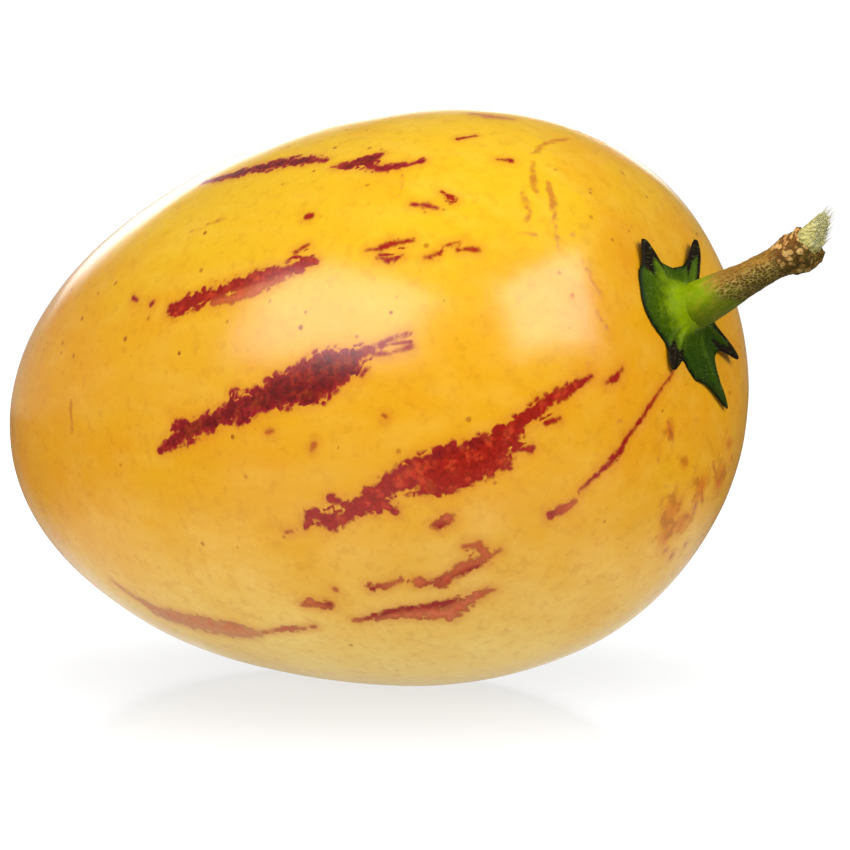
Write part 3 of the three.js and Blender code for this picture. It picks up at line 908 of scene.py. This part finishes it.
class PEPINO_OT_calyx(bpy.types.Operator):
    """Make the cup of five sepals and the hairs on it"""

    bl_idname = "pepino.calyx"
    bl_label = "Calyx"

    COLUMNS, COLLAR_ROWS, TOP_ROWS, UNDER_ROWS = 560, 16, 40, 8
    CLEAR = 0.1  # between the sepals and the skin
    INNER_END = 2.2  # how far up the stalk the cup is closed, out of sight
    OUTLINE_STEPS, LEAST_STEP = 7201, 0.004  # how finely the outline is measured

    def execute(self, context):
        scene = context.scene
        s, fruit, stalk = scene.pepino_calyx, scene.pepino_fruit, scene.pepino_stalk
        skin = Skin(fruit)
        along, upward = stalk_axes(stalk)
        crown_radius = fruit.half_width / MM * (1 + fruit.taper + fruit.fullness)
        # columns stand at equal steps of the outline's length, so that the horns get enough
        longitude = np.linspace(-180, 180, self.OUTLINE_STEPS)
        rim = self.outline(s, longitude)[0]
        x, y = rim * np.cos(np.radians(longitude)), rim * np.sin(np.radians(longitude))
        run = np.append(0, np.cumsum(np.hypot(np.diff(x), np.diff(y)) + self.LEAST_STEP))
        longitude = np.interp(np.arange(self.COLUMNS) / self.COLUMNS * run[-1], run, longitude)
        rim, curl, swing, dry, midrib = self.outline(s, longitude)
        rim = rim + 0.10 * lumps(directions(90, longitude), 0.10)
        reach = s.collar_reach / MM

        def sheet(radius, top):
            """A ring of the sepals' upper or lower side, and how far out it is."""
            out = np.clip(radius / rim, 0, 1)
            way = directions(np.degrees(radius / crown_radius), longitude + swing * out**3)
            lift = self.CLEAR + curl * out**4 + 0.25 * smooth(out, 0.75, 1) * dry
            body = s.rim / MM + 0.9 * (1 - out) ** 1.4 + 0.20 * midrib * smooth(out, 0.2, 0.45)
            body *= np.sqrt(np.clip(1 - out**10, 0, 1))
            normals = skin.normals(way)
            surface = skin.points(way) + normals * (lift + body * top)[:, None]
            return surface + 0.06 * normals * lumps(surface, 1.1)[:, None] * top, out

        # the collar: a fillet from the stalk's side down to the sepals
        foot = skin.points(TO_STALK)
        turn = np.radians(longitude)[:, None]
        spoke = np.cos(turn) * upward - np.sin(turn) * np.array([0, 1.0, 0])
        side = foot + (stalk.root_radius / MM + 0.02) * spoke
        ground, _ = sheet(np.full(self.COLUMNS, stalk.root_radius / MM), 1)
        corner = side + ((ground - side) @ along)[:, None] * along
        begin = corner + s.collar_height / MM * along
        end, _ = sheet(np.full(self.COLUMNS, reach), 1)
        # painted shade: out is raised on the side below the stalk, in the stalk's shadow, so its
        # green turns darker sooner
        painted_shade = 0.6 * smooth(turn_between(longitude, 60), 70, 130)  # the lower side is darker
        rows = []
        for t in np.linspace(0, 1, self.COLLAR_ROWS, endpoint=False):
            curve = (1 - t) ** 2 * begin + 2 * t * (1 - t) * corner + t * t * end
            ridges = 0.10 * midrib * smooth(t, 0.3, 1.0)
            curve = curve + skin.normals(TO_STALK) * np.asarray(ridges)[:, None]
            rows.append((curve, t * reach / rim + painted_shade, rim, midrib * t, 0 * rim))
        for share_out in np.linspace(0, 1, self.TOP_ROWS):
            radius = reach + (rim - reach) * share_out**0.85
            surface, out = sheet(radius, 1)
            withered = dry * smooth(radius, rim - 4.4, rim - 1.6)
            rows.append((surface, out + painted_shade, rim - radius, midrib, withered))
        for share_in in np.linspace(0.98, 0.3, self.UNDER_ROWS):
            surface, out = sheet(rim * share_in, 0)
            rows.append((surface, out, rim * (1 - share_in), 0 * rim, dry))
        ends = [foot + along * self.INNER_END, foot + along * self.CLEAR]
        points = fit_box(np.vstack([r[0] for r in rows] + ends), "calyx")
        out, inward, rib, dried = (
            np.append(np.concatenate([r[k] for r in rows]), [0, 0]) for k in (1, 2, 3, 4)
        )
        marks = {"out": out, "inward": inward, "rib": np.clip(rib, 0, 1), "dry": dried}
        faces = grid_faces(len(rows), self.COLUMNS)
        calyx = make_piece("calyx", points, faces, sepal_material(s), "calyx", marks)
        self.grow_hairs(calyx, s)
        return {"FINISHED"}

    def outline(self, s, longitude):
        """Radius, lift, swing, dryness and ribs of the calyx at some longitudes."""
        cup = s.cup_radius / MM + 0 * longitude
        for at, more, wide in CUP_LOBES:
            cup += more * bell(turn_between(longitude, at) / wide)
        rim, curl, swing, dry, ribs = cup.copy(), 0, 0, 0, 0
        for at, reach, spread, horn, blunt, base, lift, swung, withered in SEPALS:
            turn = turn_between(longitude, at)
            broad = np.clip(1 - turn / spread, 0, 1) ** 1.6
            blade = base * broad + (1 - base) * np.exp(-((turn / horn) ** blunt))
            rim += (reach - cup) * blade
            curl += lift * blade
            swing += swung * blade
            dry += withered * smooth(blade, 0.02, 0.4)
            ribs += bell(turn / 4)
            for side in (-15, 15):
                ribs += 0.5 * bell(turn_between(longitude, at + side) / 3.5)
        return rim, curl, swing, dry, ribs

    def grow_hairs(self, calyx, s):
        """Scatters short tapered hairs on the sepals."""
        wanted = {
            "Hairs per square metre": s.hair_count * 1e4,
            "Longest hair": s.hair_length,
            "Hair radius": 0.02 * MM,
        }
        tree, node, given = start_growth("Sepal hairs", wanted)
        density = given["Hairs per square metre"]
        ground = {"Mesh": given["Geometry"], "Density": density, "Seed": 4}
        scatter = node(SCATTER, ground).node.outputs
        cone = {"Vertices": 3, "Radius Top": 0, "Radius Bottom": given["Hair radius"]}
        hair = node("GeometryNodeMeshCone", {**cone, "Depth": given["Longest hair"]})
        lean = {"Min": (-0.7, -0.7, 0), "Max": (0.7, 0.7, 6.28), "Seed": 5}
        turned = {"Rotation": scatter["Rotation"], "Rotate By": node(RANDOM_VECTOR, lean)}
        turned = node("FunctionNodeRotateEuler", turned, rotation_type="EULER", space="LOCAL")
        size = node(RANDOM_NUMBER, {2: 0.35, 3: 1.0, "Seed": 6})
        placed = {"Points": scatter["Points"], "Instance": hair, "Rotation": turned, "Scale": size}
        end_growth(node, node(PLANT, placed), hair_material())
        grow("calyx_hairs", calyx, tree, wanted)


class PEPINO_OT_stalk(bpy.types.Operator):
    """Make the stalk: its bark and the torn wood that stands out of it"""

    bl_idname = "pepino.stalk"
    bl_label = "Stalk"

    COLUMNS, BARK_ROWS, WOOD_ROWS, TEAR_ROWS = 144, 180, 30, 18
    FOOT = 1.0  # where the bark starts inside the calyx, in millimetres

    def execute(self, context):
        s = context.scene.pepino_stalk
        skin = Skin(context.scene.pepino_fruit)
        self.along, self.upward = stalk_axes(s)
        self.foot = skin.points(TO_STALK)
        self.turn = np.arange(self.COLUMNS) * math.tau / self.COLUMNS
        self.bark(s)
        self.wood(s)
        return {"FINISHED"}

    def place(self, s, reach, radius):
        """Points round the stalk at a distance along it and a radius, from its upper side."""
        x, y, z = radius * np.cos(self.turn), -radius * np.sin(self.turn), reach + 0 * self.turn
        joint = s.knuckle_at / MM
        bent = s.bend * smooth(z, joint - 1.5, joint + 2.5)
        ahead = z - joint
        z = joint + ahead * np.cos(bent) - x * np.sin(bent)
        x = x * np.cos(bent) + ahead * np.sin(bent)
        axes = np.array([self.upward, [0, 1.0, 0], self.along])
        return self.foot + np.stack([x, y, z], 1) @ axes

    def bark(self, s):
        up = np.cos(self.turn)
        knuckle, root, shaft = s.knuckle_at / MM, s.root_radius / MM, s.radius / MM
        swollen = s.knuckle_radius / MM
        stops = (
            (self.FOOT, 1.02 * root), (3.0, 0.99 * root), (5.0, 0.93 * root), (7.5, 0.83 * root),
            (10.0, 1.09 * shaft), (12.5, 1.01 * shaft), (knuckle - 3.6, shaft),
            (knuckle - 2.3, 1.13 * shaft), (knuckle - 1.2, 0.99 * swollen),
            (knuckle - 0.1, 1.01 * swollen), (knuckle + 1.6, 0.93 * swollen),
        )
        reach = np.linspace(stops[0][0], stops[-1][0], self.BARK_ROWS)
        radius = np.interp(reach, *np.array(stops).T)
        window = np.ones(13) / 13  # rounds the corners at the stops
        radius = np.convolve(np.pad(radius, len(window) // 2, mode="edge"), window, mode="valid")
        ring = np.stack([up, np.sin(self.turn), 0 * up], 1)
        lip = 0.45 * lumps(ring, 0.35, 9.0) + 0.2 * lumps(ring, 0.12, 2.0)
        rows, grain = [], []
        for r, l in zip(radius, reach):
            straight = np.stack([r * up, r * np.sin(self.turn), l + 0 * up], 1)
            corky = smooth(l + 1.2 * up, 6.5, 9.5)
            joint = smooth(l, knuckle - 3.0, knuckle - 0.8)
            rough = 0.10 * lumps(straight * [1, 1, 0.4], 0.55) + 0.05 * lumps(straight, 0.3, 2.0)
            flakes = joint * (0.34 * lumps(straight, 1.0, 5.0) + 0.12 * lumps(straight, 0.4, 8.0))
            flakes += joint * (0.22 * bell((self.turn - 3.6) / 0.5) - 0.1 * up)
            own = r + 0.06 * np.cos(3 * self.turn + 0.3 * l) + corky * rough + flakes
            torn = smooth(l, knuckle - 1.5, knuckle + 1.6) * (lip - 0.1 * up)
            rows.append(self.place(s, l + torn, own))
            grain.append(straight)
        # the bark's lip turns in to the wood
        last = grain[-1]
        for k, inward in enumerate((0.84, 0.72, 0.5)):
            rows.append(self.place(s, reach[-1] + lip - 0.1 * up - 0.15 * k, radius[-1] * inward))
            grain.append(last * [inward, inward, 1])
        ends = [self.foot + self.along * self.FOOT, self.foot + self.along * (reach[-1] - 0.5)]
        grain = np.vstack([*grain, [[0, 0, self.FOOT], [0, 0, reach[-1]]]]) * MM
        self.tube("stalk_bark", rows, ends, bark_material(s), "stalk", {"grain": grain})

    def tube(self, name, rows, ends, material, node, attributes):
        """A piece from rings of points, whose rings turn the other way round."""
        faces = [face[::-1] for face in grid_faces(len(rows), self.COLUMNS)]
        points = np.vstack([*rows, ends])
        return make_piece(name, points, faces, material, node, attributes)

    def wood(self, s):
        start, end, full = s.knuckle_at / MM - 0.5, s.wood_end / MM, s.wood_radius / MM
        up = np.cos(self.turn)
        fibres = np.stack([up, np.sin(self.turn), 0 * up], 1)
        # torn at a slant: the upper side is longer
        edge = end - 1.2 + 2.7 * smooth(up, -0.9, 1.1) + 0.5 * lumps(fibres, 0.22, 1.0)
        rows = []
        for part in np.linspace(0, 1, self.WOOD_ROWS):
            uneven = 0.10 * lumps(fibres + [0, 0, 0.3 * part], 0.14, 4.0)
            radius = full * (1.02 - 0.16 * part**2) + uneven
            rows.append(self.place(s, start + (edge - start) * part, radius))
        for inward in np.linspace(0.95, 0.05, self.TEAR_ROWS):
            domed = edge + 0.5 * (1 - inward) - 0.7 * bell((inward - 0.55) / 0.25) * (up < 0.3)
            middle = edge.mean() * (1 - inward) + domed * inward
            here = fibres * inward
            spikes = 0.45 * lumps(here, 0.2, 6.0) + 0.25 * lumps(here, 0.1, 3.0)
            rows.append(self.place(s, middle + spikes * min(1, 3 * inward), full * 0.86 * inward))
        ends = [self.foot + self.along * start, rows[-1].mean(0)]
        # the loose fibres stand on the outer half of the rows
        torn = np.repeat(np.arange(len(rows)) >= len(rows) / 2, self.COLUMNS)
        torn = np.append(torn, [False, True])
        material = wood_material("Torn green wood", s.wood, "#77703A")
        core = self.tube("stalk_wood", rows, ends, material, None, {"torn": torn})
        self.strands(s, core)

    def strands(self, s, core):
        """Scatters bent fibres on the tear."""
        wanted = {
            "Fibres per square metre": 7e6,
            "Longest fibre": 1.7 * MM,
            "Fibre radius": 0.035 * MM,
            "Fray": 0.5 * MM,
        }
        tree, node, given = start_growth("Torn fibres", wanted)
        density = given["Fibres per square metre"]
        torn = node("GeometryNodeInputNamedAttribute", {"Name": "torn"}, data_type="FLOAT")
        ground = {"Mesh": given["Geometry"], "Selection": torn, "Density": density, "Seed": 11}
        tip = node("ShaderNodeCombineXYZ", {"Z": given["Longest fibre"]})
        line = node("GeometryNodeCurvePrimitiveLine", {"End": tip})
        fibre = node("GeometryNodeResampleCurve", {"Curve": line, "Count": 6})
        size = node(RANDOM_NUMBER, {2: 0.2, 3: 1.0, "Seed": 12})
        # they lie along the torn end of the stalk
        pitch = math.pi / 2 - s.rise - s.bend
        lean = {"Min": (-0.28, pitch - 0.3, 0), "Max": (0.28, pitch + 0.25, 0), "Seed": 13}
        lean = node(RANDOM_VECTOR, lean)
        placed = {
            "Points": node(SCATTER, ground), "Instance": fibre, "Rotation": lean, "Scale": size
        }
        real = node(REAL, node(PLANT, placed))
        way = node("GeometryNodeSplineParameter")
        wave = node(NOISE, {"Scale": per_mm(1.1), "Detail": 1}, out="Color")
        wave = node(VECTOR, wave, (0.5, 0.5, 0.5), operation="SUBTRACT")
        amount = node(TIMES, way, given["Fray"])
        drift = node(VECTOR, {0: wave, "Scale": amount}, operation="SCALE")
        bent = node("GeometryNodeSetPosition", {"Geometry": real, "Offset": drift})
        round_it = {"Resolution": 4, "Radius": given["Fibre radius"]}
        round_it = node("GeometryNodeCurvePrimitiveCircle", round_it)
        taper = node(TIMES_PLUS, way, -0.8, 1.0)
        tube = {"Curve": bent, "Profile Curve": round_it, "Scale": taper, "Fill Caps": True}
        tube = node("GeometryNodeCurveToMesh", tube)
        end_growth(node, tube, wood_material("Dry torn fibres", "#C9C6A4", "#948E5E"))
        grow("stalk_fibres", core, tree, wanted)


class PEPINO_OT_stage(bpy.types.Operator):
    """Make the floor, the light and the camera"""

    bl_idname = "pepino.stage"
    bl_label = "Stage"

    # softboxes: azimuth and elevation seen from the fruit, width, height, brightness
    SOFTBOXES = (
        ("Softbox left", -15, 30, 1.95, 1.02, 9.4),
        ("Softbox right", 79, 32.5, 1.80, 1.02, 10.5),
        ("Softbox behind", 221, 15, 1.50, 0.40, 3.6),
    )
    AWAY, FLOOR, MIDDLE = 1.6, 0.7, 0.038  # softboxes' distance, floor's radius, fruit's middle
    FLOOR_CORNERS = 96

    def execute(self, context):
        s, scene = context.scene.pepino_stage, context.scene
        camera = put("Camera", bpy.data.cameras.new("Camera"))
        camera.data.lens = s.focal_length
        camera.data.sensor_width = 36
        camera.location = s.camera_place
        toward = Vector(s.camera_aim) - Vector(s.camera_place)
        camera.rotation_euler = toward.to_track_quat("-Z", "Y").to_euler()
        scene.camera = camera

        centre = Vector((0, 0, self.MIDDLE))
        for name, azimuth, elevation, width, high, bright in self.SOFTBOXES:
            a, e = math.radians(azimuth), math.radians(elevation)
            way = Vector((math.sin(a) * math.cos(e), -math.cos(a) * math.cos(e), math.sin(e)))
            lamp = bpy.data.lights.new(name, "AREA")
            lamp.shape, lamp.size, lamp.size_y = "RECTANGLE", width, high
            lamp.energy = math.pi * width * high * bright
            # its cloth is dimmer along the edges
            lamp.use_nodes = True
            tree = lamp.node_tree
            node = partial(add, tree)
            across = node("ShaderNodeNewGeometry", out="Parametric")
            across = node(VECTOR, across, (0.5, 0.5, 0), operation="SUBTRACT")
            across = node(VECTOR, across, operation="ABSOLUTE")
            side, rise, _ = node(AXES, across).node.outputs
            across = node(MATH, side, rise, 0.12, operation="SMOOTH_MAX")
            fade = node(SMOOTH, across, 0.28, 0.52, 1, 0.05)
            tree.links.new(fade, tree.nodes["Emission"].inputs["Strength"])
            box = put(name, lamp)
            box.location = centre + way * self.AWAY
            box.rotation_euler = (-way).to_track_quat("-Z", "Y").to_euler()

        floor = put("floor", bpy.data.meshes.new("floor"))
        turns = [math.tau * k / self.FLOOR_CORNERS for k in range(self.FLOOR_CORNERS)]
        edge = [(self.FLOOR * math.cos(a), self.FLOOR * math.sin(a), 0) for a in turns]
        floor.data.from_pydata(edge, [], [range(len(edge))])
        floor.data.materials.append(floor_material())

        # the surround is white to look at, but lights the fruit only a little, from low down
        world = bpy.data.worlds.new("White surround")
        world.use_nodes = True
        tree = world.node_tree
        node = partial(add, tree)
        seen = node("ShaderNodeLightPath", out="Is Camera Ray")
        way = node(AXES, node(PLACE, out="Generated")).node.outputs
        glow = node(SMOOTH, way["X"], 0.3, -0.9, 0.15 * s.horizon, s.horizon)
        glow = node(SMOOTH, way["Z"], 0.0, 0.4, glow, s.ceiling)
        light = tree.nodes["Background"].inputs
        tree.links.new(node(RANGE, seen, 0, 1, glow, s.sky), light["Strength"])
        light["Color"].default_value = (1, 1, 1, 1)
        scene.world = world
        scene.view_settings.view_transform = "Standard"
        return {"FINISHED"}


class PEPINO_PT_sidebar(bpy.types.Panel):
    """Lists the pieces of the melon"""

    bl_label = "Pepino melon"
    bl_space_type = "VIEW_3D"
    bl_region_type = "UI"
    bl_category = "Pepino"

    def draw(self, context):
        for operator in OPERATORS:
            self.layout.operator(operator.bl_idname)
        for group, key in SETTINGS.items():
            box = self.layout.box()
            for name in group.__annotations__:
                box.prop(getattr(context.scene, key), name)


SETTINGS = {
    PepinoFruitSettings: "pepino_fruit",
    PepinoCalyxSettings: "pepino_calyx",
    PepinoStalkSettings: "pepino_stalk",
    PepinoStageSettings: "pepino_stage",
}
OPERATORS = (PEPINO_OT_stage, PEPINO_OT_fruit, PEPINO_OT_calyx, PEPINO_OT_stalk)
CLASSES = (*SETTINGS, *OPERATORS, PEPINO_PT_sidebar)


def register():
    for cls in CLASSES:
        bpy.utils.register_class(cls)
    for group, key in SETTINGS.items():
        setattr(bpy.types.Scene, key, bpy.props.PointerProperty(type=group))


def unregister():
    for key in SETTINGS.values():
        delattr(bpy.types.Scene, key)
    for cls in reversed(CLASSES):
        bpy.utils.unregister_class(cls)


def main():
    register()
    bpy.ops.pepino.stage()
    bpy.ops.pepino.fruit()
    bpy.ops.pepino.calyx()
    bpy.ops.pepino.stalk()


if __name__ == "__main__":
    main()
